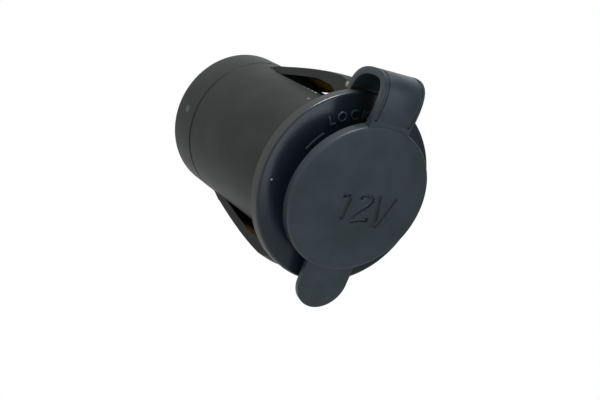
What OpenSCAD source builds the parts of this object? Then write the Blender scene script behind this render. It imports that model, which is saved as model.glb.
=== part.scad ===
// Panel-mounted 12 volt power socket for a vehicle or boat, with a soft sealing cap on a strap.
// The socket axis runs along Y and the mouth looks towards -Y.
// The origin is on that axis, in the plane of the flange's rear face, and +Z is up.

/* [Flange and neck] */
// Diameter of the flange that covers the edge of the panel hole
flange_d = 42.5; // [41:0.1:46]
// Thickness of the flange
flange_t = 2.5; // [2.2:0.1:3.2]
// Radius of the rounded front edge of the flange
flange_round = 0.6; // [0.2:0.1:0.9]
// Diameter of the neck round the mouth
neck_d = 27.2; // [26.8:0.1:28]
// Height of the neck above the flange
neck_h = 1.6; // [1:0.1:1.7]
// Diameter of the recess in the neck, in front of the contact shell
mouth_d = 24; // [23.8:0.1:24.4]
// Thickness of the seat that carries the lip of the contact shell
seat_t = 0.9; // [0.8:0.1:1.1]

/* [Twist lock] */
// Outer diameter of the tracks for the plug's lugs
track_d = 26.6; // [26:0.1:26.6]
// Width of the entry notches
notch_w = 4; // [3:0.1:5]
// Height of the tracks along the axis
track_h = 1.2; // [1:0.1:1.4]
// Angle through which the plug turns to lock
track_turn = 45; // [30:1:60]

/* [Barrel] */
// Outer diameter of the barrel
barrel_d = 34.6; // [33.6:0.1:36]
// Thickness of the barrel's wall
barrel_wall = 1.8; // [1.4:0.1:2]
// Thickness of the inner wall that carries the contacts
bulkhead_t = 2; // [1.8:0.1:3]
// Length of the barrel behind the inner wall
chamber_len = 4.7; // [4.2:0.1:7]
// Depth of the chamfers that form the dark joint line to the rear cover
joint_line = 0.35; // [0.2:0.05:0.6]

/* [Snap arms] */
// Width of the windows in the barrel
window_w = 14.2; // [14:0.1:17]
// Radius of the corners of the windows
window_round = 1.1; // [0.4:0.1:1.1]
// Width of a snap arm
arm_w = 12.8; // [11:0.1:13]
// Radius from the socket axis to the crest of a free arm
arm_crest_r = 22.2; // [21.8:0.1:22.8]
// Height of an arm's back above the barrel, at its root
arm_heel = 1.1; // [0.7:0.1:1.3]
// Length of the heel that carries this height down to the barrel
arm_heel_len = 4.2; // [2:0.1:5]
// Thickness of an arm at its root
arm_t = 1.6; // [1.4:0.1:1.8]
// Thickness of an arm in its middle
arm_crest_t = 2.6; // [2.2:0.1:3]
// Depth of the nose of an arm, from its crest towards the socket axis
arm_nose = 4.2; // [3.6:0.1:5]
// Angle by which use has left the upper arm standing out, and the lower arm in
arm_set = 0.3; // [0:0.1:0.8]
// Thickest panel that fits between the sealing ring and the tips of the arms
panel_t = 2.1; // [1.6:0.1:2.4]
// Distance from the flange to the root of an arm
arm_root_y = 31.5; // [30.5:0.1:31.7]
// Gap between the root of an arm and the end of its window
arm_gap = 0.45; // [0.4:0.05:0.6]

/* [Contact shell] */
// Inner diameter of the shell that takes the plug
bore_d = 21; // [20.9:0.1:21.2]
// Depth of the bore from its lip to its base
bore_depth = 34; // [33.6:0.1:38]
// Thickness of the shell's sheet
shell_t = 0.6; // [0.5:0.05:0.7]
// Diameter of the shell's lip
lip_d = 23.8; // [23:0.1:23.8]
// Length of the narrower nose at the shell's base
nose_len = 3.4; // [3.2:0.1:5]
// Step in radius from the bore to that nose
nose_step = 0.6; // [0.4:0.05:0.7]
// Radial clearance between the shell and the housing
shell_gap = 0.1; // [0.05:0.05:0.3]

/* [Contacts] */
// Diameter of the head of the centre contact
contact_head_d = 8; // [7:0.1:9]
// Thickness of that head
contact_head_t = 1.6; // [1.2:0.1:2.2]
// Diameter of the centre contact's stud
stud_d = 4; // [3.5:0.1:4.2]
// Length of stud that stands out of the nut
stud_end = 1.1; // [0.6:0.1:2]
// Diameter of the inner insulator
insulator_d = 13.6; // [12:0.1:14]
// Thickness of the inner insulator's disc
insulator_t = 1.2; // [1:0.1:1.6]
// Diameter of the insulator's boss, which passes through the inner wall
boss_d = 6.8; // [6.4:0.1:7.4]
// Diameter of the outer insulator
outer_insulator_d = 10.4; // [9.6:0.1:10.6]
// Thickness of the outer insulator
outer_insulator_t = 1; // [0.8:0.1:1.4]
// Radial clearance of holes over studs, bosses and rivets
hole_gap = 0.1; // [0.05:0.05:0.2]

/* [Terminals] */
// Width of the blades, the usual push-on size
blade_w = 6.3; // [6.3, 4.8]
// Thickness of the blades
blade_t = 0.8; // [0.6:0.1:1]
// Distance from the socket axis to the middle of each blade
blade_x = 6.2; // [6:0.1:6.8]
// Length of blade that stands out of the rear cover
blade_out = 8; // [7:0.1:10]
// Radius of the bend in the middle of each terminal's sheet
bend_r = 0.8; // [0.7:0.1:1]
// Clearance between the ground terminal and its slot and pocket
slot_gap = 0.2; // [0.1:0.05:0.3]
// Diameter of the rivet that holds the ground terminal
rivet_d = 2; // [1.6:0.1:2.2]
// Diameter of the rivet's heads
rivet_head_d = 2.8; // [2.6:0.1:3]
// Height of the rivet's heads
rivet_head_t = 0.5; // [0.4:0.1:0.7]

/* [Fasteners] */
// Diameter of the flat washer
washer_d = 8; // [7.4:0.1:9]
// Thickness of the flat washer
washer_t = 0.5; // [0.4:0.1:0.8]
// Diameter of the split lock washer
lock_washer_d = 7.2; // [6.6:0.1:7.6]
// Thickness of the split lock washer
lock_washer_t = 0.9; // [0.7:0.1:1.1]
// Width of the split in the lock washer
lock_washer_split = 0.7; // [0.4:0.1:1]
// Width across the flats of the nut
nut_af = 7; // [6.6:0.1:7.4]
// Thickness of the nut
nut_t = 3.2; // [2.8:0.1:3.6]

/* [Rear cover] */
// Length of the rear cover behind the barrel
cover_len = 9.3; // [8.8:0.1:14]
// Diameter of the rear cover at its end
cover_end_d = 34.6; // [33.4:0.1:35]
// Thickness of the cover's walls
cover_wall = 1.8; // [1.4:0.1:2.4]
// Radius of the rounded rear edge
cover_round = 0.6; // [0.4:0.1:1.6]
// Length of the spigot that enters the barrel
spigot_len = 3.2; // [2.8:0.1:3.8]
// Thickness of the spigot's wall
spigot_wall = 2; // [1.8:0.1:2.4]
// Radial clearance of the spigot in the barrel
spigot_gap = 0.05; // [0.05:0.05:0.15]
// Thickness of the round seal in the spigot's groove
seal_t = 1; // [0.8:0.05:1.1]
// Height of the barrier between the blades
barrier_h = 5; // [3:0.1:7]
// Width of the barrier between the blades
barrier_w = 9; // [7:0.1:12]
// Thickness of that barrier
barrier_t = 1.4; // [1:0.1:2]

/* [Sealing ring and strap] */
// Angle by which the ring, strap and cap are turned on the barrel
cap_turn = 8.5; // [0:0.5:12]
// Width of the sealing ring's band between flange and panel
gasket_w = 3.2; // [2.6:0.1:3.3]
// Thickness of the sealing ring
gasket_t = 1.2; // [1:0.1:1.4]
// Radial clearance of the sealing ring on the barrel
gasket_gap = 0.1; // [0:0.05:0.3]
// Width of the strap
strap_w = 10.5; // [8:0.1:12]
// Thickness of the strap
strap_t = 1.5; // [1.2:0.1:1.8]
// Height of the strap's arch above the edge of the flange
strap_rise = 4.9; // [4.4:0.1:6]
// Distance by which the arch stands in front of its end on the cap
strap_lead = 0.85; // [0.6:0.05:1.2]

/* [Cap] */
// Diameter of the cap
cap_d = 33.3; // [33:0.1:34]
// Distance from the flange to the middle of the cap's face
cap_stand = 5.8; // [5.7:0.1:6.4]
// Angle by which the strap lifts its side of the closed cap
cap_tilt = 7.5; // [6:0.5:8]
// Distance by which the closed cap sits below the socket axis
cap_drop = 0.42; // [0:0.01:0.6]
// Thickness of the cap's face
face_t = 1.25; // [1:0.05:1.3]
// Depth of the cap's rim
rim_h = 2.3; // [1.8:0.1:2.3]
// Thickness of the cap's rim
rim_t = 1.3; // [1:0.1:1.8]
// Radius of the rounded front edge
cap_round = 0.5; // [0.3:0.1:0.9]
// Diameter of the plug that enters the mouth
plug_d = 18.8; // [17:0.1:19]
// Thickness of the plug's wall
plug_wall = 1.4; // [1:0.1:2]
// Length of the plug
plug_len = 4; // [3.4:0.1:4.2]
// Height of the two sealing beads on the plug
bead_h = 0.3; // [0.2:0.05:0.35]
// Width of the pull tab
tab_w = 12.2; // [10:0.1:16]
// Distance from the middle of the cap to the end of the tab
tab_reach = 26.3; // [24:0.1:30]
// Thickness of the tab
tab_t = 1; // [0.8:0.1:1.3]
// Depth of the step from the cap's face to the tab
tab_step = 0.4; // [0.2:0.05:0.5]

/* [Hidden] */

$fn = 96;
eps = 0.01;
far = 60;

flange_r = flange_d / 2;
neck_r = neck_d / 2;
mouth_r = mouth_d / 2;
track_r = track_d / 2;
barrel_r = barrel_d / 2;
barrel_in = barrel_r - barrel_wall;
bore_r = bore_d / 2;
shell_r = bore_r + shell_t;
shell_hole_r = shell_r + shell_gap;
nose_r = bore_r - nose_step;
neck_y = -flange_t - neck_h;

// Places along the socket axis, from the lip of the shell back to the cover
lip_y = -seat_t - shell_t;
base_y = lip_y + bore_depth;
bulkhead_y = base_y + shell_t;
chamber_y = bulkhead_y + bulkhead_t;
barrel_len = chamber_y + chamber_len;
cover_end_y = barrel_len + cover_len;
window_end = arm_root_y + arm_gap;

// Stack of pieces on the stud
head_y = base_y - insulator_t - contact_head_t;
terminal_y = chamber_y + outer_insulator_t;
washer_y = terminal_y + blade_t;
lock_washer_y = washer_y + washer_t;
nut_y = lock_washer_y + lock_washer_t;
stud_y = nut_y + nut_t + stud_end;
boss_hole_r = boss_d / 2 + hole_gap;
stud_hole_r = stud_d / 2 + hole_gap;
blade_end_y = cover_end_y + blade_out;

// Ground terminal: its foot lies between the shell's base and the inner wall
rivet_x = -(insulator_d / 2 + nose_r) / 2;
foot_x = rivet_x - rivet_head_d / 2 - 0.3;
pocket_deep = blade_t + 0.05;

// Spigot, groove and seal of the rear cover
spigot_r = barrel_in - spigot_gap;
groove_deep = seal_t - spigot_gap + 0.02;
groove_y = barrel_len - spigot_len / 2 - seal_t / 2 - 0.1;

// Cap and strap
cap_r = cap_d / 2;
plug_r = plug_d / 2;
cap_y = -flange_t - cap_stand;
lug_top = cap_r + 0.65;
strap_mid = 0.15 + strap_t / 2;
gasket_in = barrel_r + gasket_gap;
strap_root = max(flange_r, gasket_in + gasket_w) + 0.1;
arm_tip_y = gasket_t + panel_t;

// Unit vector, rounded corners of a bent strip, and the outline of its two faces
function unit(v) = v / norm(v);
function left(v) = [-v[1], v[0]];
function cross2(a, b) = a[0] * b[1] - a[1] * b[0];
function bend(a, b, c, r, off, n) =
    let (d1 = unit(b - a), d2 = unit(c - b), s = sign(cross2(d1, d2)),
        turn = acos(d1 * d2), centre = b - d1 * r * tan(turn / 2) + s * r * left(d1),
        h = atan2(d1[1], d1[0]))
    [for (i = [0:n]) let (w = h + s * turn * i / n)
        centre - s * (r - s * off) * [-sin(w), cos(w)]];
function face(p, r, off, n) =
    let (m = len(p) - 1)
    concat([p[0] + off * left(unit(p[1] - p[0]))],
        [for (i = [1:m - 1]) each bend(p[i - 1], p[i], p[i + 1], r, off, n)],
        [p[m] + off * left(unit(p[m] - p[m - 1]))]);
function backwards(p) = [for (i = [len(p) - 1:-1:0]) p[i]];
function strip(p, r, t, n) = concat(face(p, r, t / 2, n), backwards(face(p, r, -t / 2, n)));
function arc(c, r, a0, a1, n) = [for (i = [0:n]) let (a = a0 + (a1 - a0) * i / n)
    c + r * [cos(a), sin(a)]];
function curve(a, b, c, n) = [for (i = [0:n]) let (t = i / n)
    a * (1 - t) * (1 - t) + b * 2 * t * (1 - t) + c * t * t];
function rest(p) = [for (i = [1:len(p) - 1]) p[i]];

// One face of a smooth band, from the points on its middle line
function side(p, off) = let (m = len(p) - 1)
    [for (i = [0:m]) p[i] + off * left(unit(p[min(i + 1, m)] - p[max(i - 1, 0)]))];

// Turns local +Z onto the socket axis, so profiles are lists of [radius, distance along Y]
module axial() {
    rotate([-90, 0, 0]) children();
}

module turned(profile) {
    axial() rotate_extrude() polygon(profile);
}

module washer(r_in, r_out, y0, y1) {
    turned([[r_in, y0], [r_out, y0], [r_out, y1], [r_in, y1]]);
}

module box(x0, x1, y0, y1, z0, z1) {
    translate([x0, y0, z0]) cube([x1 - x0, y1 - y0, z1 - z0]);
}

// A flat outline in X and Z, made solid from y0 to y1
module plate(y0, y1) {
    translate([0, y1, 0]) rotate([90, 0, 0]) linear_extrude(y1 - y0) children();
}

// A rounded opening that leaves the socket towards +Z
module window() {
    half = window_w / 2;
    translate([0, 0, (barrel_in + shell_r) / 2]) linear_extrude(far) {
        translate([-half, 0]) square([window_w, window_end - window_round]);
        translate([window_round - half, window_round])
            square([window_w - 2 * window_round, window_end - window_round]);
        for (side = [-1, 1]) {
            translate([side * (half - window_round), window_end - window_round])
                circle(window_round, $fn = 32);
        }
    }
}

// One notch and track, which a lug of the plug enters and turns clockwise in
module lock_track() {
    box(bore_r, track_r, neck_y - 1, -seat_t, -notch_w / 2, notch_w / 2);
    box(bore_r, far / 2, neck_y - 1, -flange_t, -notch_w / 2, notch_w / 2);
    axial() translate([0, 0, -seat_t - track_h]) rotate_extrude(angle = track_turn)
        translate([shell_r, 0]) square([track_r - shell_r, track_h]);
}

// The turned form of the housing, from the neck's rim to the rear edge of the barrel
module shell_body() {
    turned(concat(
        [[mouth_r, neck_y]],
        arc([neck_r - 0.3, neck_y + 0.3], 0.3, -90, 0, 4),
        [[neck_r, -flange_t]],
        arc([flange_r - flange_round, flange_round - flange_t], flange_round, -90, 0, 6),
        [[flange_r, 0], [barrel_r, 0], [barrel_r, barrel_len - joint_line],
            [barrel_r - joint_line, barrel_len], [barrel_in, barrel_len],
            [barrel_in, chamber_y], [boss_hole_r, chamber_y],
            [boss_hole_r, bulkhead_y], [barrel_in, bulkhead_y], [barrel_in, 0],
            [shell_hole_r, 0], [shell_hole_r, -seat_t], [mouth_r, -seat_t]]));
}

// Heel behind the window, where the back of an arm runs down into the barrel
module arm_heel_pad() {
    end = window_end + arm_heel_len;
    intersection() {
        turned(concat(
            [[barrel_r - 0.5, window_end - window_round], [barrel_r, window_end - window_round],
                [barrel_r + arm_heel, window_end]],
            curve([barrel_r + 0.6 * arm_heel, window_end + 0.35 * arm_heel_len],
                [barrel_r + 0.1 * arm_heel, window_end + 0.7 * arm_heel_len],
                [barrel_r, end], 4),
            [[barrel_r - 0.5, end]]));
        box(-arm_w / 2, arm_w / 2, 0, end, 0, far);
    }
}

// Pocket for the ground terminal's foot, slot for its blade, hollow for the rivet
module ground_seat() {
    box(foot_x - slot_gap, -blade_x + blade_t / 2 + slot_gap,
        bulkhead_y - eps, bulkhead_y + pocket_deep,
        -blade_w / 2 - slot_gap, blade_w / 2 + slot_gap);
    box(-blade_x - blade_t / 2 - slot_gap, -blade_x + blade_t / 2 + slot_gap,
        bulkhead_y, chamber_y + eps, -blade_w / 2 - slot_gap, blade_w / 2 + slot_gap);
    translate([rivet_x, 0, 0]) washer(0, rivet_head_d / 2 + slot_gap,
        bulkhead_y, bulkhead_y + blade_t + rivet_head_t + 0.1);
}

module housing() {
    color("#2b2e31") difference() {
        union() {
            shell_body();
            for (turn = [0, 180]) rotate([0, turn, 0]) arm_heel_pad();
        }
        for (turn = [0, 180]) rotate([0, turn, 0]) {
            window();
            rotate([0, -90, 0]) lock_track();
        }
        ground_seat();
    }
}

// Free shape of the upper arm, concentric with the barrel and cut to its width
module snap_arm() {
    tip = arm_tip_y;
    back = barrel_r + arm_heel;
    belly = arm_crest_r - arm_crest_t;
    nose = arm_crest_r - arm_nose;
    crest = [[arm_crest_r - 0.1, tip + 3], [arm_crest_r - 0.45, tip + 1.7],
        [arm_crest_r - 1, tip + 0.7], [arm_crest_r - 1.7, tip + 0.15]];
    color("#26292c") intersection() {
        turned(concat(
            curve([back, arm_root_y], [arm_crest_r - 0.5, arm_root_y - 14.5],
                [arm_crest_r, tip + 4.6], 10),
            crest,
            [[arm_crest_r - 2.2, tip], [nose + 0.4, tip], [nose, tip + 0.4]],
            curve([nose, tip + 1.8], [belly - 0.6, tip + 4.6], [belly, tip + 6.6], 4),
            curve([belly + 0.05, tip + 11.6], [belly - 0.3, tip + 15.1],
                [back - arm_t, arm_root_y], 8)));
        box(-arm_w / 2, arm_w / 2, 0, arm_root_y, 0, far);
    }
}

// Turns an arm about its root by the angle that use has left in it
module set_arm(angle) {
    translate([0, arm_root_y, barrel_r + arm_heel - arm_t / 2]) rotate([angle, 0, 0])
        translate([0, -arm_root_y, -barrel_r - arm_heel + arm_t / 2]) children();
}

module snap_arm_upper() {
    set_arm(-arm_set) snap_arm();
}

module snap_arm_lower() {
    mirror([0, 0, 1]) set_arm(arm_set) snap_arm();
}

module contact_shell() {
    color("#b59a5b") difference() {
        turned([[bore_r, lip_y], [lip_d / 2, lip_y], [lip_d / 2, -seat_t],
            [shell_r, -seat_t], [shell_r, base_y - nose_len],
            [nose_r + shell_t, base_y - nose_len + nose_step],
            [nose_r + shell_t, bulkhead_y], [boss_hole_r, bulkhead_y],
            [boss_hole_r, base_y], [nose_r, base_y],
            [nose_r, base_y - nose_len + nose_step], [bore_r, base_y - nose_len]]);
        translate([rivet_x, 0, 0])
            washer(0, rivet_d / 2 + hole_gap, base_y - 1, bulkhead_y + 1);
    }
}

module ground_rivet() {
    tail = bulkhead_y + blade_t;
    color("#c9b27a") translate([rivet_x, 0, 0]) turned(concat(
        [[0, base_y - rivet_head_t]],
        arc([rivet_head_d / 2 - 0.3, base_y - rivet_head_t + 0.3], 0.3, -90, 0, 4),
        [[rivet_head_d / 2, base_y], [rivet_d / 2, base_y], [rivet_d / 2, tail],
            [rivet_head_d / 2, tail], [rivet_head_d / 2, tail + rivet_head_t],
            [0, tail + rivet_head_t]]));
}

// Chamfered end of a blade, with the hole that a push-on connector's dimple enters
module blade_end(x) {
    for (side = [-1, 1]) scale([1, 1, side])
        translate([x - blade_t, blade_end_y, blade_w / 2]) rotate([45, 0, 0])
            cube([2 * blade_t, 1.2, 1.2], center = false);
    translate([x - blade_t, blade_end_y - 3.6, 0]) rotate([0, 90, 0])
        cylinder(h = 2 * blade_t, r = 0.85, $fn = 32);
}

module ground_terminal() {
    mid = bulkhead_y + blade_t / 2;
    path = [[foot_x, mid], [-blade_x, mid], [-blade_x, blade_end_y]];
    color("#c8c4b8") difference() {
        linear_extrude(blade_w, center = true) polygon(strip(path, bend_r, blade_t, 6));
        blade_end(-blade_x);
        translate([rivet_x, 0, 0])
            washer(0, rivet_d / 2 + hole_gap, bulkhead_y - 1, bulkhead_y + blade_t + 1);
    }
}

module power_terminal() {
    mid = terminal_y + blade_t / 2;
    path = [[0, mid], [blade_x, mid], [blade_x, blade_end_y]];
    color("#c8c4b8") difference() {
        union() {
            linear_extrude(blade_w, center = true) polygon(strip(path, bend_r, blade_t, 6));
            washer(0, blade_w / 2, terminal_y, washer_y);
        }
        blade_end(blade_x);
        washer(0, stud_hole_r, terminal_y - 1, washer_y + 1);
    }
}

module centre_contact() {
    head_r = contact_head_d / 2;
    color("#c9b27a") turned(concat(
        [[0, head_y]],
        arc([head_r - 0.6, head_y + 0.6], 0.6, -90, 0, 6),
        [[head_r, head_y + contact_head_t], [stud_d / 2, head_y + contact_head_t],
            [stud_d / 2, stud_y - 0.4], [stud_d / 2 - 0.4, stud_y], [0, stud_y]]));
}

module inner_insulator() {
    color("#5b3a24") turned([[stud_hole_r, base_y - insulator_t],
        [insulator_d / 2, base_y - insulator_t], [insulator_d / 2, base_y],
        [boss_d / 2, base_y], [boss_d / 2, chamber_y], [stud_hole_r, chamber_y]]);
}

module outer_insulator() {
    color("#5b3a24") washer(stud_hole_r, outer_insulator_d / 2, chamber_y, terminal_y);
}

module flat_washer() {
    color("#b9bbb8") washer(stud_hole_r, washer_d / 2, washer_y, lock_washer_y);
}

module lock_washer() {
    color("#8f918f") difference() {
        washer(stud_hole_r, lock_washer_d / 2, lock_washer_y, nut_y);
        box(-lock_washer_split / 2, lock_washer_split / 2, lock_washer_y - 1, nut_y + 1,
            0, far);
    }
}

module hex_nut() {
    color("#b9bbb8") difference() {
        axial() translate([0, 0, nut_y]) cylinder(h = nut_t, d = nut_af / cos(30), $fn = 6);
        washer(0, stud_hole_r, nut_y - 1, nut_y + nut_t + 1);
    }
}

module rear_cover() {
    end_in = cover_end_y - cover_wall;
    groove_r = spigot_r - groove_deep;
    color("#303336") difference() {
        union() {
            turned(concat(
                [[spigot_r - spigot_wall, barrel_len - spigot_len],
                    [spigot_r, barrel_len - spigot_len], [spigot_r, groove_y],
                    [groove_r, groove_y], [groove_r, groove_y + seal_t + 0.2],
                    [spigot_r, groove_y + seal_t + 0.2], [spigot_r, barrel_len],
                    [barrel_r - joint_line, barrel_len], [barrel_r, barrel_len + joint_line]],
                arc([cover_end_d / 2 - cover_round, cover_end_y - cover_round],
                    cover_round, 0, 90, 6),
                [[0, cover_end_y], [0, end_in], [spigot_r - spigot_wall, end_in]]));
            box(-barrier_t / 2, barrier_t / 2, cover_end_y - eps, cover_end_y + barrier_h,
                -barrier_w / 2, barrier_w / 2);
        }
        for (x = [-blade_x, blade_x]) {
            box(x - blade_t / 2 - slot_gap, x + blade_t / 2 + slot_gap,
                end_in - 1, cover_end_y + 1,
                -blade_w / 2 - slot_gap, blade_w / 2 + slot_gap);
        }
    }
}

module rear_seal() {
    mid_r = spigot_r - groove_deep + seal_t / 2 + 0.01;
    color("#1c1d1f") axial() translate([0, 0, groove_y + seal_t / 2 + 0.1])
        rotate_extrude() translate([mid_r, 0]) circle(d = seal_t, $fn = 24);
}

module sealing_ring() {
    color("#2a2d31") rotate([0, -cap_turn, 0]) difference() {
        union() {
            washer(0, gasket_in + gasket_w, 0, gasket_t);
            box(-strap_w / 2, strap_w / 2, 0, gasket_t, 0, strap_root);
        }
        washer(0, gasket_in, -1, gasket_t + 1);
    }
}

// A place in the cap's own frame, as [along Y, along Z] in the frame turned by cap_turn
function cap_place(up, deep) = [cap_y + deep * cos(cap_tilt) - up * sin(cap_tilt),
    -cap_drop + deep * sin(cap_tilt) + up * cos(cap_tilt)];

module cap_strap() {
    root = [gasket_t - strap_t / 2, strap_root];
    lug = cap_place(lug_top, strap_mid);
    front = lug[0] - strap_lead;
    over = front - root[0];
    high = root[1] + 0.95 * strap_rise;
    rise = [root[0] + 0.3 * over, root[1] + 0.84 * strap_rise];
    fall = [root[0] + 0.71 * over, high];
    low = [front, root[1] + 0.24 * strap_rise];
    path = concat([root],
        curve(root + [0, 0.3], root + [0.07 * over, 0.66 * strap_rise], rise, 6),
        rest(curve(rise, [root[0] + 0.5 * over, root[1] + 0.99 * strap_rise], fall, 4)),
        rest(curve(fall, [front + 0.2, high - 0.2], low, 6)),
        rest(curve(low, [front - 0.1, (low[1] + lug[1]) / 2],
            cap_place(lug_top + 0.3, strap_mid), 5)),
        [lug]);
    color("#31353a") rotate([0, -cap_turn, 0]) rotate([90, 0, 90])
        linear_extrude(strap_w, center = true)
            polygon(concat(side(path, strap_t / 2), backwards(side(path, -strap_t / 2))));
}

// The cap in its own frame, with the middle of its face at the origin
module cap_shape() {
    end = face_t + plug_len;
    bead = [for (y = [end - 1, end - 2.1]) each
        [[plug_r - bead_h, y + 0.45], [plug_r, y], [plug_r - bead_h, y - 0.45]]];
    turned(concat(
        [[0, 0]],
        arc([cap_r - cap_round, cap_round], cap_round, -90, 0, 6),
        [[cap_r, rim_h], [cap_r - rim_t, rim_h], [cap_r - rim_t, face_t],
            [plug_r - bead_h, face_t]],
        backwards(bead),
        [[plug_r - bead_h, end - 0.5], [plug_r - bead_h - 0.5, end],
            [plug_r - plug_wall, end], [plug_r - plug_wall, face_t], [0, face_t]]));
    plate(tab_step, tab_step + tab_t) intersection() {
        translate([-tab_w / 2, -tab_reach]) square([tab_w, tab_reach - cap_r + rim_t]);
        union() {
            translate([-tab_w / 2, tab_w / 2 - tab_reach]) square([tab_w, tab_reach]);
            translate([0, tab_w / 2 - tab_reach]) circle(d = tab_w);
        }
    }
    plate(strap_mid - strap_t / 2, strap_mid + strap_t / 2)
        translate([-strap_w / 2, cap_r - 2.6]) square([strap_w, lug_top - cap_r + 2.6]);
}

module cap() {
    color("#34383d") rotate([0, -cap_turn, 0]) translate([0, cap_y, -cap_drop])
        rotate([cap_tilt, 0, 0]) cap_shape();
}

housing();
snap_arm_upper();
snap_arm_lower();
contact_shell();
ground_rivet();
ground_terminal();
centre_contact();
inner_insulator();
outer_insulator();
power_terminal();
flat_washer();
lock_washer();
hex_nut();
rear_cover();
rear_seal();
sealing_ring();
cap_strap();
cap();
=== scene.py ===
"""12 volt power socket: looks, small moulded detail, studio light and camera."""

import math

import bpy
from bpy.props import FloatProperty, FloatVectorProperty, PointerProperty, StringProperty
from bpy.types import Operator, Panel, PropertyGroup
from mathutils import Matrix, Quaternion, Vector


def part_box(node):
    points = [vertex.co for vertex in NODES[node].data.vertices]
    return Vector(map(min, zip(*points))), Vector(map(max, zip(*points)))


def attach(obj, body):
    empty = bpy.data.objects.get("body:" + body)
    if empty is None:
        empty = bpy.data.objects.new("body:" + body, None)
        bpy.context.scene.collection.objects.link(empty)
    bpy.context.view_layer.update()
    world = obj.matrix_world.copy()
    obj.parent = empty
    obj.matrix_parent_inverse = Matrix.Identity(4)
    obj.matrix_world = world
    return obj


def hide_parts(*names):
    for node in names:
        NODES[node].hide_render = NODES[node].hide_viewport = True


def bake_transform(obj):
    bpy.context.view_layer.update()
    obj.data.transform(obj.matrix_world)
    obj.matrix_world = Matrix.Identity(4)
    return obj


bl_info = {
    "name": "12 volt power socket",
    "version": (1, 0, 0),
    "blender": (4, 5, 0),
    "location": "View3D > Sidebar > Socket",
    "description": "Finishes a panel-mounted power socket with its sealing cap",
    "category": "Object",
}

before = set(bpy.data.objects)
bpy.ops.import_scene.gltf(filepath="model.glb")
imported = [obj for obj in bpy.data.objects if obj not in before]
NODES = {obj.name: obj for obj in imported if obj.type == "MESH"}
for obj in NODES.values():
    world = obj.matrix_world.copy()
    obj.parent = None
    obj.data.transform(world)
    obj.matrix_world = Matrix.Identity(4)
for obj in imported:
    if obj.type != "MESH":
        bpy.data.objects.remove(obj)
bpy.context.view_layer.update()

MM = 0.001
# A noise's scale counts its features in a metre, so it is this over their size in mm
METRE = 1000
# Points nearer to each other than this are one
MERGE = 0.001 * MM
# A face looks along a direction when its normal's part along it is more than this
FACING = 0.9

# The closed cap in the socket's frame: turned about the socket axis, set in front of the
# flange, and tilted because the strap lifts its side
CAP_TURN = math.radians(8.5)
CAP_TILT = math.radians(7.5)
CAP_FACE_Y = -8.3 * MM
CAP_DROP = 0.42 * MM
CAP_FRAME = (
    Matrix.Rotation(-CAP_TURN, 4, "Y")
    @ Matrix.Translation((0, CAP_FACE_Y, -CAP_DROP))
    @ Matrix.Rotation(CAP_TILT, 4, "X")
)

# Letters stand upright on a face that looks along -Y
UPRIGHT = Matrix.Rotation(math.radians(90), 4, "X")

# The housing reaches forwards to the lip of its neck, which stands this far off the flange
NECK_REACH = 1.6 * MM
FLANGE_FRONT_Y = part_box("housing")[0][1] + NECK_REACH

# Height of a capital in the built-in letterform, as a part of its size
CAPITAL = 0.73

# Places of the mask, the two colours and the result on a colour mix node
MIX_MASK, MIX_UNDER, MIX_OVER, MIX_RESULT = 0, 6, 7, 2


def linear(hex_colour):
    """An sRGB hex colour as linear red, green and blue, with alpha 1."""
    parts = [int(hex_colour[i : i + 2], 16) / 255 for i in (1, 3, 5)]
    return [p / 12.92 if p <= 0.04045 else ((p + 0.055) / 1.055) ** 2.4 for p in parts] + [1.0]


class SocketSizes(PropertyGroup):
    """Sizes and colours of the socket's finish that a user would change."""

    plastic: FloatVectorProperty(
        name="Plastic", description="Colour of the moulded housing", subtype="COLOR",
        size=4, min=0, max=1, default=linear("#1d1f1e"),
    )
    rubber: FloatVectorProperty(
        name="Rubber", description="Colour of the cap, strap and ring", subtype="COLOR",
        size=4, min=0, max=1, default=linear("#222c2e"),
    )
    stroke_width: FloatProperty(
        name="Stroke width", description="Width of the strokes of the rating in the cap's face",
        default=1.0 * MM, min=0.4 * MM, max=1.2 * MM, subtype="DISTANCE", unit="LENGTH",
    )
    stroke_depth: FloatProperty(
        name="Stroke depth", description="Depth of the rating in the cap's face",
        default=0.55 * MM, min=0.1 * MM, max=0.6 * MM, subtype="DISTANCE", unit="LENGTH",
    )
    turn_word: StringProperty(
        name="Turn word", description="Word raised on the flange beside the turning mark",
        default="LOCK",
    )
    turn_height: FloatProperty(
        name="Word height", description="Height of the letters raised on the flange",
        default=2.2 * MM, min=1.5 * MM, max=3 * MM, subtype="DISTANCE", unit="LENGTH",
    )
    raised: FloatProperty(
        name="Raised by", description="Height of the raised marks above the flange",
        default=0.28 * MM, min=0.1 * MM, max=0.5 * MM, subtype="DISTANCE", unit="LENGTH",
    )
    bead: FloatProperty(
        name="Strap bead", description="Height of the two beads along the strap",
        default=0.22 * MM, min=0.1 * MM, max=0.4 * MM, subtype="DISTANCE", unit="LENGTH",
    )


def sizes():
    """The socket's property group, which the panel shows."""
    return bpy.context.scene.socket_sizes


def add(tree, kind, settings=None, values=None, links=None):
    """Adds a shader node with its settings, its input values and what feeds its inputs.

    Inputs are given by name, or by place where the node has several of one name.
    """
    node = tree.nodes.new(kind)
    for name, value in (settings or {}).items():
        setattr(node, name, value)
    for name, value in (values or {}).items():
        node.inputs[name].default_value = value
    for name, source in (links or {}).items():
        tree.links.new(source, node.inputs[name])
    return node


def new_material(name):
    """An empty node material with its tree."""
    material = bpy.data.materials.new(name)
    material.use_nodes = True
    material.node_tree.nodes.clear()
    return material, material.node_tree


def close(tree, shader):
    """Puts the shader on the material's output."""
    add(tree, "ShaderNodeOutputMaterial", links={"Surface": shader})


def surfaced(material, values, links):
    """The material, ended with one principled shader with those inputs."""
    tree = material.node_tree
    shader = add(tree, "ShaderNodeBsdfPrincipled", values=values, links=links)
    close(tree, shader.outputs["BSDF"])
    return material


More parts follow.
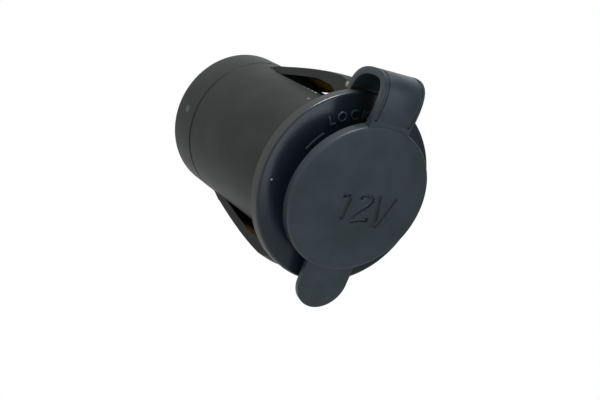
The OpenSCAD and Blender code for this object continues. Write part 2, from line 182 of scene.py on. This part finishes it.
def dress(obj, material):
    """Gives a piece or a CAD node one material."""
    obj.data.materials.clear()
    obj.data.materials.append(material)


# Middle and radius of each mark on the nylon, in mm, and its colour: two specks of dust and a
# scuff, then painted highlights
NYLON_SPECKS_AND_GLINTS = (
    ((-10.2, 9.6, 14.0), 0.45, "#6c7274"),
    ((-17.3, 44.0, -1.0), 1.1, "#4a4f50"),
    ((-18.3, -2.5, -3.45), 0.26, "#a5adb0"),
    # Painted highlights: warm glints where light catches the upper window's near edge, fading
    # along it, and one on the nose of the upper arm
    ((-6.9, 12.4, 15.9), 0.8, "#a09684"),
    ((-6.95, 13.9, 15.9), 0.7, "#8b8273"),
    ((-7.0, 15.6, 15.85), 0.7, "#6d6759"),
    ((-7.0, 17.3, 15.8), 0.7, "#504d45"),
    ((-6.4, 4.2, 20.4), 0.9, "#8d8475"),
)
# The same for painted reflection on the inner sides of the arms: the warm light that the brass
# contact shell bounces onto them, painted brown
ARM_BRASS_BOUNCE = (
    ((2.5, 25.5, 17.4), 4.6, "#b08a2a"),
    ((-3, 16, -18.5), 5.0, "#c89448"),
)
# Part of a mark's radius within which it has its full colour
MARK_CORE = 0.4

# Where polish and gloss set in along the socket axis, from none to full; the polished face also
# takes a darker tone of painted shade
POLISH_EDGE = (-1.7 * MM, -2.3 * MM)
GLOSS_EDGE = (0.3 * MM, -0.2 * MM)
# Where a face of an arm looks inwards enough to take that painted reflection: its height times its
# normal's Z
INWARD_EDGE = (-4 * MM, -10 * MM)


def spark_grain(tree, coords, grain_mm, height_mm):
    """Bump of a mould's spark-eroded surface: fine even grain over a slow unevenness."""
    fine = add(tree, "ShaderNodeTexNoise", values={"Scale": METRE / grain_mm, "Detail": 3.0},
               links={"Vector": coords})
    slow = add(tree, "ShaderNodeTexNoise", values={"Scale": METRE / 7, "Detail": 2.0},
               links={"Vector": coords})
    first = add(tree, "ShaderNodeBump", values={"Strength": 0.35, "Distance": height_mm * MM},
                links={"Height": fine.outputs["Fac"]})
    return add(tree, "ShaderNodeBump", values={"Strength": 0.25, "Distance": 0.12 * MM},
               links={"Height": slow.outputs["Fac"], "Normal": first.outputs["Normal"]})


def band(tree, value, low, high):
    """0 to 1 as the value goes from low to high, smoothly."""
    return add(tree, "ShaderNodeMapRange", {"interpolation_type": "SMOOTHSTEP"},
               {"From Min": low, "From Max": high}, {"Value": value}).outputs["Result"]


def joined(tree, operation, a, b):
    """Two values joined by a maths operation."""
    return add(tree, "ShaderNodeMath", {"operation": operation},
               links={0: a, 1: b}).outputs["Value"]


def blend_colour(tree, mask, under, over):
    """One colour over another by a mask; each is a socket or a linear colour."""
    values, links = {}, {MIX_MASK: mask}
    for place, colour in ((MIX_UNDER, under), (MIX_OVER, over)):
        fed = isinstance(colour, bpy.types.NodeSocket)
        (links if fed else values)[place] = colour
    return add(tree, "ShaderNodeMix", {"data_type": "RGBA"}, values, links).outputs[MIX_RESULT]


def speck(tree, coords, place, size):
    """Mask of a soft round spot on a surface, with its middle and radius in mm."""
    away = add(tree, "ShaderNodeVectorMath", {"operation": "DISTANCE"},
               {1: [p * MM for p in place]}, {0: coords}).outputs["Value"]
    return band(tree, away, size * MM, MARK_CORE * size * MM)


def moulded_nylon(name, face_tone):
    """Glass-filled nylon, injection moulded: matt and grey in light, with a polished flange whose
    darker tone is painted shade.
    """
    material, tree = new_material(name)
    source = add(tree, "ShaderNodeTexCoord")
    coords = source.outputs["Object"]
    position = add(tree, "ShaderNodeSeparateXYZ", links={"Vector": coords})
    normal = add(tree, "ShaderNodeSeparateXYZ", links={"Vector": source.outputs["Normal"]})
    along = position.outputs["Y"]
    # The flange's front was polished in the tool, so it is smoother than the barrel; its darker,
    # bluer tone is painted shade, for the cap's shadow and the dim room that the face reflects
    polished = band(tree, along, *POLISH_EDGE)
    cloud = add(tree, "ShaderNodeTexNoise", values={"Scale": METRE / 9, "Detail": 4.0},
                links={"Vector": coords})
    cloudy = band(tree, cloud.outputs["Fac"], 0.35, 0.75)
    base = blend_colour(tree, cloudy, list(sizes().plastic), linear("#262827"))
    colour = blend_colour(tree, polished, base, linear(face_tone))
    # Dust, a scuff on the rear cover, and painted highlights: warm glints on the upper window's
    # near edge and on the upper arm's nose
    for place, size, tone in NYLON_SPECKS_AND_GLINTS:
        colour = blend_colour(tree, speck(tree, coords, place, size), colour, linear(tone))
    # A face looks inwards where its normal's Z and its height are of opposite signs
    outward = joined(tree, "MULTIPLY", normal.outputs["Z"], position.outputs["Z"])
    inner = band(tree, outward, *INWARD_EDGE)
    # Painted reflection: brass-coloured bounce light on the inner faces of the arms
    for place, size, tone in ARM_BRASS_BOUNCE:
        brass_bounce = joined(tree, "MULTIPLY", speck(tree, coords, place, size), inner)
        colour = blend_colour(tree, brass_bounce, colour, linear(tone))
    rough = add(tree, "ShaderNodeMapRange", values={"To Min": 0.52, "To Max": 0.22},
                links={"Value": polished})
    bump = spark_grain(tree, coords, grain_mm=0.35, height_mm=0.02)
    # Fibres near the surface scatter the barrel's reflection, but not the flange's
    gloss = add(tree, "ShaderNodeMapRange", {"interpolation_type": "SMOOTHSTEP"},
                {"From Min": GLOSS_EDGE[0], "From Max": GLOSS_EDGE[1],
                 "To Min": 0.14, "To Max": 0.4}, {"Value": along})
    return surfaced(material, {"IOR": 1.52},
                    {"Base Color": colour, "Roughness": rough.outputs["Result"],
                     "Specular IOR Level": gloss.outputs["Result"],
                     "Normal": bump.outputs["Normal"]})


def soft_pvc():
    """Soft PVC, moulded in one piece: satin, a little blue, with a faint bloom of plasticiser."""
    material, tree = new_material("soft_pvc")
    coords = add(tree, "ShaderNodeTexCoord").outputs["Object"]
    bloom = add(tree, "ShaderNodeTexNoise",
                values={"Scale": METRE / 9, "Detail": 4.0, "Roughness": 0.6},
                links={"Vector": coords})
    mask = band(tree, bloom.outputs["Fac"], 0.3, 0.74)
    colour = blend_colour(tree, mask, list(sizes().rubber), linear("#2a343a"))
    rough = add(tree, "ShaderNodeMapRange", values={"To Min": 0.34, "To Max": 0.46},
                links={"Value": bloom.outputs["Fac"]})
    bump = spark_grain(tree, coords, grain_mm=0.3, height_mm=0.015)
    return surfaced(material, {"IOR": 1.53, "Specular IOR Level": 0.3},
                    {"Base Color": colour, "Roughness": rough.outputs["Result"],
                     "Normal": bump.outputs["Normal"]})


def nitrile_rubber():
    """Nitrile rubber of a round seal: deep black and dull."""
    material, tree = new_material("nitrile_rubber")
    coords = add(tree, "ShaderNodeTexCoord").outputs["Object"]
    bump = spark_grain(tree, coords, grain_mm=0.25, height_mm=0.01)
    return surfaced(material, {"Base Color": linear("#141516"), "Roughness": 0.6, "IOR": 1.52},
                    {"Normal": bump.outputs["Normal"]})


def drawn_metal(name, pale, dark, roughness):
    """Drawn metal with faint stains: polish varies from spot to spot, with fine draw lines."""
    material, tree = new_material(name)
    coords = add(tree, "ShaderNodeTexCoord").outputs["Object"]
    stain = add(tree, "ShaderNodeTexNoise", values={"Scale": METRE / 5, "Detail": 4.0},
                links={"Vector": coords})
    mask = band(tree, stain.outputs["Fac"], 0.4, 0.72)
    colour = blend_colour(tree, mask, linear(pale), linear(dark))
    least, most = roughness
    rough = add(tree, "ShaderNodeMapRange", values={"To Min": least, "To Max": most},
                links={"Value": stain.outputs["Fac"]})
    # Draw lines run along the socket axis, 0.2 mm apart
    stretch = add(tree, "ShaderNodeMapping", values={"Scale": (1.0, 0.05, 1.0)},
                  links={"Vector": coords})
    lines = add(tree, "ShaderNodeTexNoise", values={"Scale": METRE / 0.2, "Detail": 2.0},
                links={"Vector": stretch.outputs["Vector"]})
    bump = add(tree, "ShaderNodeBump", values={"Strength": 0.2, "Distance": 0.01 * MM},
               links={"Height": lines.outputs["Fac"]})
    return surfaced(material, {"Metallic": 1.0},
                    {"Base Color": colour, "Roughness": rough.outputs["Result"],
                     "Normal": bump.outputs["Normal"]})


def fibre_board():
    """Pressed phenolic fibre of the insulators: brown, with a fine fleck."""
    material, tree = new_material("fibre_board")
    coords = add(tree, "ShaderNodeTexCoord").outputs["Object"]
    fleck = add(tree, "ShaderNodeTexNoise", values={"Scale": METRE / 0.8, "Detail": 5.0},
                links={"Vector": coords})
    mask = band(tree, fleck.outputs["Fac"], 0.4, 0.65)
    colour = blend_colour(tree, mask, linear("#5a371f"), linear("#6f4a2c"))
    bump = add(tree, "ShaderNodeBump", values={"Strength": 0.3, "Distance": 0.03 * MM},
               links={"Height": fleck.outputs["Fac"]})
    return surfaced(material, {"Roughness": 0.55, "IOR": 1.55},
                    {"Base Color": colour, "Normal": bump.outputs["Normal"]})


def made(name, maker, *words):
    """The material of that name, made once."""
    return bpy.data.materials.get(name) or maker(*words)


def nylon():
    """The nylon of the housing, its arms and the rear cover."""
    # The flange face's tone, darker and bluer than the barrel, is painted shade of the cap
    return made("moulded_nylon", moulded_nylon, "moulded_nylon", "#172026")


def pale_nylon():
    """The same nylon on raised marks, in a paler tone on the flange's face."""
    return made("pale_nylon", moulded_nylon, "pale_nylon", "#343f45")


def rubber():
    """The soft PVC of the cap, its strap and the sealing ring."""
    return made("soft_pvc", soft_pvc)


def only(obj):
    """Selects that object alone and makes it active."""
    bpy.ops.object.select_all(action="DESELECT")
    obj.select_set(True)
    bpy.context.view_layer.objects.active = obj


def merged_copy(node, name):
    """A new piece with a CAD node's mesh, its loose triangles joined and flat faces merged."""
    obj = bpy.data.objects.new(name, NODES[node].data.copy())
    bpy.context.scene.collection.objects.link(obj)
    only(obj)
    bpy.ops.object.mode_set(mode="EDIT")
    bpy.ops.mesh.select_all(action="SELECT")
    bpy.ops.mesh.customdata_custom_splitnormals_clear()
    bpy.ops.mesh.remove_doubles(threshold=MERGE)
    bpy.ops.mesh.dissolve_limited(angle_limit=math.radians(0.4))
    bpy.ops.object.mode_set(mode="OBJECT")
    return obj


def smooth(obj, degrees):
    """Smooth shading across soft corners only."""
    only(obj)
    bpy.ops.object.shade_smooth_by_angle(angle=math.radians(degrees))


def settle(obj, matrix):
    """Moves the selected object there and applies the move to its mesh."""
    obj.matrix_world = matrix
    bpy.ops.object.transform_apply(location=True, rotation=True, scale=True)


def apply_modifier(obj, kind, **settings):
    """Adds a modifier with its settings and applies it."""
    only(obj)
    modifier = obj.modifiers.new(kind.title(), kind)
    for name, value in settings.items():
        setattr(modifier, name, value)
    bpy.ops.object.modifier_apply(modifier=modifier.name)


def cut(point, normal, drop_behind=False):
    """In edit mode, cuts the mesh with a plane; the side behind it may be dropped and closed."""
    bpy.ops.mesh.select_all(action="SELECT")
    bpy.ops.mesh.bisect(plane_co=point, plane_no=normal, clear_inner=drop_behind,
                        use_fill=drop_behind)


def select_faces(obj, wanted):
    """In edit mode, selects the faces whose centre and normal the test wants."""
    bpy.ops.mesh.select_mode(type="FACE")
    bpy.ops.mesh.select_all(action="DESELECT")
    bpy.ops.object.mode_set(mode="OBJECT")
    for face in obj.data.polygons:
        face.select = wanted(face.center, face.normal)
    bpy.ops.object.mode_set(mode="EDIT")


def lettering(name, word, height, thickness, matrix):
    """A word as a solid upright mesh, with its middle at the matrix's origin."""
    bpy.ops.object.select_all(action="DESELECT")
    bpy.ops.object.text_add()
    obj = bpy.context.object
    obj.name = name
    obj.data.body = word
    obj.data.align_x = "CENTER"
    obj.data.align_y = "BOTTOM_BASELINE"
    obj.data.size = height / CAPITAL
    obj.data.extrude = thickness / 2
    obj.data.resolution_u = 5
    bpy.ops.object.convert(target="MESH")
    obj = bpy.context.object
    settle(obj, matrix @ UPRIGHT @ Matrix.Translation((0, -height / 2, 0)))
    bpy.ops.object.mode_set(mode="EDIT")
    bpy.ops.mesh.select_all(action="SELECT")
    bpy.ops.mesh.remove_doubles(threshold=MERGE)
    bpy.ops.object.mode_set(mode="OBJECT")
    return obj


def stroke(name, points, radius, depth):
    """A round bar along points in mm of the cap's face, which it enters to that depth."""
    curve = bpy.data.curves.new(name, "CURVE")
    curve.dimensions = "3D"
    curve.bevel_depth = radius
    curve.bevel_resolution = 3
    curve.use_fill_caps = True
    spline = curve.splines.new("POLY")
    spline.points.add(len(points) - 1)
    for point, (x, z) in zip(spline.points, points):
        point.co = (x * MM, depth - radius, z * MM, 1)
    obj = bpy.data.objects.new(name, curve)
    bpy.context.scene.collection.objects.link(obj)
    only(obj)
    bpy.ops.object.convert(target="MESH")
    obj = bpy.context.object
    settle(obj, CAP_FRAME)
    return obj


class SOCKET_OT_mouldings(Operator):
    """Finish the housing, its snap arms and the rear cover."""

    bl_idname = "socket.mouldings"
    bl_label = "Housing and rear cover"

    def execute(self, context):
        for node, body in (("housing", "socket"), ("rear_cover", "socket"),
                           ("snap_arm_upper", "upper_arm"), ("snap_arm_lower", "lower_arm")):
            piece = merged_copy(node, node + "_moulding")
            smooth(piece, degrees=30)
            dress(piece, nylon())
            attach(piece, body)
            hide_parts(node)
        return {"FINISHED"}


class SOCKET_OT_arm_roots(Operator):
    """Join each snap arm to its heel with the plastic that flexes between them."""

    bl_idname = "socket.arm_roots"
    bl_label = "Snap arm roots"

    # A root is the arm's last slice. The faces near the arm's end are drawn out into the
    # heel, and then all of the slice is sunk a little
    slice_length = 0.35 * MM
    near_end = 0.4 * MM
    drawn_out = 0.52 * MM
    sunk = 0.02 * MM

    def execute(self, context):
        for side in ("upper", "lower"):
            piece = merged_copy("snap_arm_" + side, "arm_root_" + side)
            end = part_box("snap_arm_" + side)[1][1]
            bpy.ops.object.mode_set(mode="EDIT")
            cut((0, end - self.slice_length, 0), (0, 1, 0), drop_behind=True)
            select_faces(piece, lambda centre, normal:
                         normal.y > FACING and centre.y > end - self.near_end)
            bpy.ops.transform.translate(value=(0, self.drawn_out, 0))
            bpy.ops.mesh.select_all(action="SELECT")
            bpy.ops.transform.shrink_fatten(value=-self.sunk)
            bpy.ops.object.mode_set(mode="OBJECT")
            smooth(piece, degrees=30)
            dress(piece, nylon())
            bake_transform(piece)
        return {"FINISHED"}


class SOCKET_OT_turn_mark(Operator):
    """Raise the word and the turning mark on the flange's polished face."""

    bl_idname = "socket.turn_mark"
    bl_label = "Turning mark"

    # Angles in degrees, from the top of the socket to the left as the front is seen
    letters_at = (41.8, 32.7, 22.6, 12.8)
    bar_from = 51
    bar_to = 70.4
    # Distances from the socket's axis
    letter_foot = 15.45 * MM
    bar_radius = 14.6 * MM
    bar_width = 0.42 * MM
    # Length of the section that the bar is spun from
    section_length = 0.05 * MM

    def execute(self, context):
        looks = sizes()
        middle = self.letter_foot + looks.turn_height / 2
        for i, (letter, turn) in enumerate(zip(looks.turn_word, self.letters_at)):
            spot = (Matrix.Rotation(-math.radians(turn), 4, "Y")
                    @ Matrix.Translation((0, FLANGE_FRONT_Y, middle)))
            # Half of a letter's thickness is sunk in the flange
            piece = lettering("turn_letter_%d" % (i + 1), letter, looks.turn_height,
                              2 * looks.raised, spot)
            self.finish_mark(piece)
        self.finish_mark(self.turning_bar(looks.raised))
        return {"FINISHED"}

    def turning_bar(self, height):
        """A thin bar that follows the neck, spun from a short section and half sunk."""
        bpy.ops.object.select_all(action="DESELECT")
        start = math.radians(self.bar_from)
        bpy.ops.mesh.primitive_cube_add(size=1)
        obj = bpy.context.object
        obj.name = "turning_bar"
        section = (self.section_length, 2 * height, self.bar_width, 1)
        settle(obj, Matrix.Rotation(-start, 4, "Y")
               @ Matrix.Translation((0, FLANGE_FRONT_Y, self.bar_radius))
               @ Matrix.Diagonal(section))
        side = Matrix.Rotation(-start, 4, "Y") @ Vector((-1, 0, 0))
        bpy.ops.object.mode_set(mode="EDIT")
        select_faces(obj, lambda centre, normal: normal.dot(side) > FACING)
        bpy.ops.mesh.spin(steps=14, angle=math.radians(self.bar_to - self.bar_from),
                          center=(0, 0, 0), axis=(0, 1, 0))
        bpy.ops.mesh.select_all(action="SELECT")
        bpy.ops.mesh.remove_doubles(threshold=MERGE)
        bpy.ops.mesh.normals_make_consistent(inside=False)
        bpy.ops.object.mode_set(mode="OBJECT")
        return obj

    def finish_mark(self, piece):
        """Rounds a mark's edges as the tool leaves them, and puts it on the flange."""
        apply_modifier(piece, "BEVEL", width=0.07 * MM, segments=2, limit_method="ANGLE")
        smooth(piece, degrees=40)
        dress(piece, pale_nylon())
        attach(piece, "socket")


class SOCKET_OT_cap(Operator):
    """Finish the cap and sink the rating into its face."""

    bl_idname = "socket.cap"
    bl_label = "Cap"

    # The strokes of 12V on the cap's face, in mm to the right and up from its middle
    strokes = (
        ((-4.01, 0.11), (-4.12, 0.79), (-2.66, 0.49)),
        ((-2.54, 0.42), (-2.73, -4.85)),
        ((0.13, 0.33), (0.19, 1.07), (0.98, 1.5), (2.18, 1.39), (3.06, 0.79), (3.26, 0.23),
         (2.74, -0.73), (1.36, -2.0), (0.21, -3.08), (-0.22, -4.93)),
        ((-0.22, -4.93), (2.27, -4.25), (4.03, -4.07)),
        ((4.52, 1.93), (6.41, -5.32)),
        ((8.92, 1.87), (7.15, -3.85), (6.41, -5.32)),
    )

    def execute(self, context):
        looks = sizes()
        piece = merged_copy("cap", "cap_moulding")
        for points in self.strokes:
            cutter = stroke("rating_cutter", points, looks.stroke_width / 2, looks.stroke_depth)
            apply_modifier(piece, "BOOLEAN", operation="DIFFERENCE", solver="EXACT",
                           object=cutter)
            bpy.data.objects.remove(cutter)
        apply_modifier(piece, "BEVEL", width=0.05 * MM, segments=2, limit_method="ANGLE",
                       angle_limit=math.radians(50))
        smooth(piece, degrees=35)
        dress(piece, rubber())
        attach(piece, "sealing_cap")
        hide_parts("cap")
        return {"FINISHED"}


class SOCKET_OT_strap(Operator):
    """Model the strap as a band cut in a fan across its arch, with a bead along each edge, and
    dress the ring.
    """

    bl_idname = "socket.strap"
    bl_label = "Strap and ring"

    # Middle of the strap's arch, and the angles in degrees of the cuts fanned round it
    arch = (0, -5.2 * MM, 22.6 * MM)
    fan = range(-100, 190, 10)
    # Inner and outer edge of each bead, from the strap's middle line
    bead_from = 3.95 * MM
    bead_to = 4.65 * MM

    def execute(self, context):
        turn = Matrix.Rotation(-CAP_TURN, 4, "Y")
        back = turn.inverted()
        piece = merged_copy("cap_strap", "strap_band")
        bpy.ops.object.mode_set(mode="EDIT")
        # The fan of cuts gives the band rows of points round its arch
        for degrees in self.fan:
            angle = math.radians(degrees)
            cut(turn @ Vector(self.arch), turn @ Vector((0, math.cos(angle), math.sin(angle))))
        for x in (-self.bead_to, -self.bead_from, self.bead_from, self.bead_to):
            cut(turn @ Vector((x, 0, 0)), turn @ Vector((1, 0, 0)))

        def on_bead(centre, normal):
            """Whether a face lies on a bead's band and looks away from the arch's middle."""
            spot = back @ centre
            look = back @ normal
            outward = look.dot(spot - Vector((spot.x, *self.arch[1:]))) > 0
            sideways = abs(look.x) >= 0.5
            return self.bead_from < abs(spot.x) < self.bead_to and outward and not sideways

        select_faces(piece, on_bead)
        bpy.ops.mesh.extrude_region_shrink_fatten(
            TRANSFORM_OT_shrink_fatten={"value": -sizes().bead})
        bpy.ops.object.mode_set(mode="OBJECT")
        apply_modifier(piece, "BEVEL", width=0.14 * MM, segments=2, limit_method="ANGLE",
                       angle_limit=math.radians(50))
        smooth(piece, degrees=40)
        dress(piece, rubber())
        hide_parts("cap_strap")
        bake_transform(piece)
        ring = merged_copy("sealing_ring", "ring_moulding")
        smooth(ring, degrees=30)
        dress(ring, rubber())
        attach(ring, "socket")
        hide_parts("sealing_ring")
        return {"FINISHED"}


class SOCKET_OT_contacts(Operator):
    """Dress the contacts, insulators, terminals, fasteners and the rear seal."""

    bl_idname = "socket.contacts"
    bl_label = "Contacts and terminals"

    def execute(self, context):
        # Pale and dark colour of each metal, and its least and greatest roughness
        brass = drawn_metal("drawn_brass", "#c0a468", "#8d7443", (0.36, 0.58))
        turned = drawn_metal("turned_brass", "#cdb27a", "#a58a55", (0.18, 0.34))
        tin = drawn_metal("tinned_brass", "#c6c3ba", "#a09c92", (0.24, 0.4))
        zinc = drawn_metal("zinc_plate", "#b4b6b6", "#8d9092", (0.3, 0.48))
        board = fibre_board()
        seal = nitrile_rubber()
        finish = {
            "contact_shell": brass, "ground_rivet": turned, "centre_contact": turned,
            "ground_terminal": tin, "power_terminal": tin, "flat_washer": zinc,
            "lock_washer": zinc, "hex_nut": zinc, "inner_insulator": board,
            "outer_insulator": board, "rear_seal": seal,
        }
        for node, material in finish.items():
            dress(NODES[node], material)
        return {"FINISHED"}


class SOCKET_OT_stage(Operator):
    """Set the floor, the soft light and the camera."""

    bl_idname = "socket.stage"
    bl_label = "Floor, light and camera"

    floor_height = -55 * MM
    # Reflections see a dim room on this side, in front and to the right. It sets in between
    # two distances in metres on the floor, and between two parts of the direction in the sky
    dim_side = (0.6, -0.8, 0.0)
    dim_level = 0.2
    floor_fade = (-0.05, 0.2)
    sky_fade = (0.0, 0.6)
    # Light that the sky gives, against the white of 1 that the camera sees
    sky_level = 0.4
    # Where the camera stands and what it looks at, and its lean to the left
    camera_place = Vector((-135.712, -176.03, 21.161)) * MM
    camera_aim = Vector((-5.68, 3.045, -6.277)) * MM
    camera_lean = math.radians(24.943)
    camera_lens = 62.634

    def execute(self, context):
        self.floor()
        self.world()
        self.lamps()
        self.camera()
        return {"FINISHED"}

    def floor(self):
        """A wide pale floor that the camera sees as white, and reflections nearly so."""
        bpy.ops.object.select_all(action="DESELECT")
        bpy.ops.mesh.primitive_plane_add(size=6, location=(0, 0, 0))
        floor = bpy.context.object
        floor.name = "floor"
        floor.data.transform(Matrix.Translation((0, 0, self.floor_height)))
        material, tree = new_material("white_floor")
        seen, level = self.seen_ray(tree, *self.floor_fade)
        matt = add(tree, "ShaderNodeBsdfDiffuse", values={"Color": linear("#f0f0f0")})
        glow = add(tree, "ShaderNodeEmission", values={"Color": (1, 1, 1, 1)},
                   links={"Strength": level})
        mix = add(tree, "ShaderNodeMixShader",
                  links={0: seen, 1: matt.outputs["BSDF"], 2: glow.outputs["Emission"]})
        close(tree, mix.outputs["Shader"])
        dress(floor, material)

    def seen_ray(self, tree, near, far):
        """Mask of the rays that see the background, and its level, dim in part for glossy ones."""
        path = add(tree, "ShaderNodeLightPath")
        coords = add(tree, "ShaderNodeTexCoord").outputs["Object"]
        ahead = add(tree, "ShaderNodeVectorMath", {"operation": "DOT_PRODUCT"},
                    {1: self.dim_side}, {0: coords}).outputs["Value"]
        room = add(tree, "ShaderNodeMapRange", {"interpolation_type": "SMOOTHSTEP"},
                   {"From Min": near, "From Max": far, "To Min": 1.0, "To Max": self.dim_level},
                   {"Value": ahead}).outputs["Result"]
        direct = joined(tree, "MAXIMUM", path.outputs["Is Camera Ray"],
                        path.outputs["Is Transmission Ray"])
        glossy = path.outputs["Is Glossy Ray"]
        return (joined(tree, "MAXIMUM", direct, glossy),
                joined(tree, "MAXIMUM", direct, joined(tree, "MULTIPLY", glossy, room)))

    def world(self):
        """Soft even light from all round, with a white background."""
        world = bpy.data.worlds.new("studio")
        bpy.context.scene.world = world
        world.use_nodes = True
        tree = world.node_tree
        tree.nodes.clear()
        seen, level = self.seen_ray(tree, *self.sky_fade)
        # Places 0, 2 and 3 are the mask, the level where it is 0 and the level where it is 1
        soft = add(tree, "ShaderNodeMix", {"data_type": "FLOAT"}, {2: self.sky_level},
                   {0: seen, 3: level})
        sky = add(tree, "ShaderNodeBackground", values={"Color": (1, 1, 1, 1)},
                  links={"Strength": soft.outputs["Result"]})
        add(tree, "ShaderNodeOutputWorld", links={"Surface": sky.outputs["Background"]})

    def lamps(self):
        """A broad key from above, a little to the left, and a weaker fill from the front."""
        # Place and size in mm, and power in watts
        for name, place, size, power, colour in (
            ("key", (-110, -20, 330), 150, 1.4, "#f6faff"),
            ("fill", (60, -260, 40), 240, 0.35, "#e6f0ff"),
        ):
            lamp = bpy.data.lights.new(name, "AREA")
            lamp.energy = power
            lamp.size = size * MM
            lamp.color = linear(colour)[:3]
            obj = bpy.data.objects.new(name, lamp)
            obj.location = Vector(place) * MM
            obj.rotation_mode = "QUATERNION"
            obj.rotation_quaternion = (-obj.location).to_track_quat("-Z", "Y")
            bpy.context.scene.collection.objects.link(obj)

    def camera(self):
        """The camera of the photograph: close in front, to the left, and leaning."""
        lens = bpy.data.cameras.new("camera")
        lens.lens = self.camera_lens
        lens.sensor_width = 36
        lens.clip_start = 0.01
        obj = bpy.data.objects.new("camera", lens)
        obj.location = self.camera_place
        obj.rotation_mode = "QUATERNION"
        look = (self.camera_aim - self.camera_place).to_track_quat("-Z", "Y")
        obj.rotation_quaternion = look @ Quaternion((0, 0, 1), self.camera_lean)
        bpy.context.scene.collection.objects.link(obj)
        bpy.context.scene.camera = obj


class SOCKET_PT_panel(Panel):
    """Lists the socket's steps and sizes in the sidebar."""

    bl_label = "Power socket"
    bl_idname = "SOCKET_PT_panel"
    bl_space_type = "VIEW_3D"
    bl_region_type = "UI"
    bl_category = "Socket"

    def draw(self, context):
        looks = context.scene.socket_sizes
        for name in looks.__annotations__:
            self.layout.prop(looks, name)
        for step in STEPS:
            self.layout.operator(step.bl_idname)


# The steps in the order in which main runs them
STEPS = (
    SOCKET_OT_mouldings,
    SOCKET_OT_arm_roots,
    SOCKET_OT_turn_mark,
    SOCKET_OT_cap,
    SOCKET_OT_strap,
    SOCKET_OT_contacts,
    SOCKET_OT_stage,
)


def register():
    """Registers the sizes, the steps and the panel."""
    bpy.utils.register_class(SocketSizes)
    bpy.types.Scene.socket_sizes = PointerProperty(type=SocketSizes)
    for step in STEPS:
        bpy.utils.register_class(step)
    bpy.utils.register_class(SOCKET_PT_panel)


def unregister():
    """Takes back what register does."""
    bpy.utils.unregister_class(SOCKET_PT_panel)
    for step in reversed(STEPS):
        bpy.utils.unregister_class(step)
    del bpy.types.Scene.socket_sizes
    bpy.utils.unregister_class(SocketSizes)


def main():
    """Builds the dressed socket and its stage."""
    register()
    bpy.ops.socket.mouldings()
    bpy.ops.socket.arm_roots()
    bpy.ops.socket.turn_mark()
    bpy.ops.socket.cap()
    bpy.ops.socket.strap()
    bpy.ops.socket.contacts()
    bpy.ops.socket.stage()
    bpy.context.scene.view_settings.view_transform = "Standard"


if __name__ == "__main__":
    main()
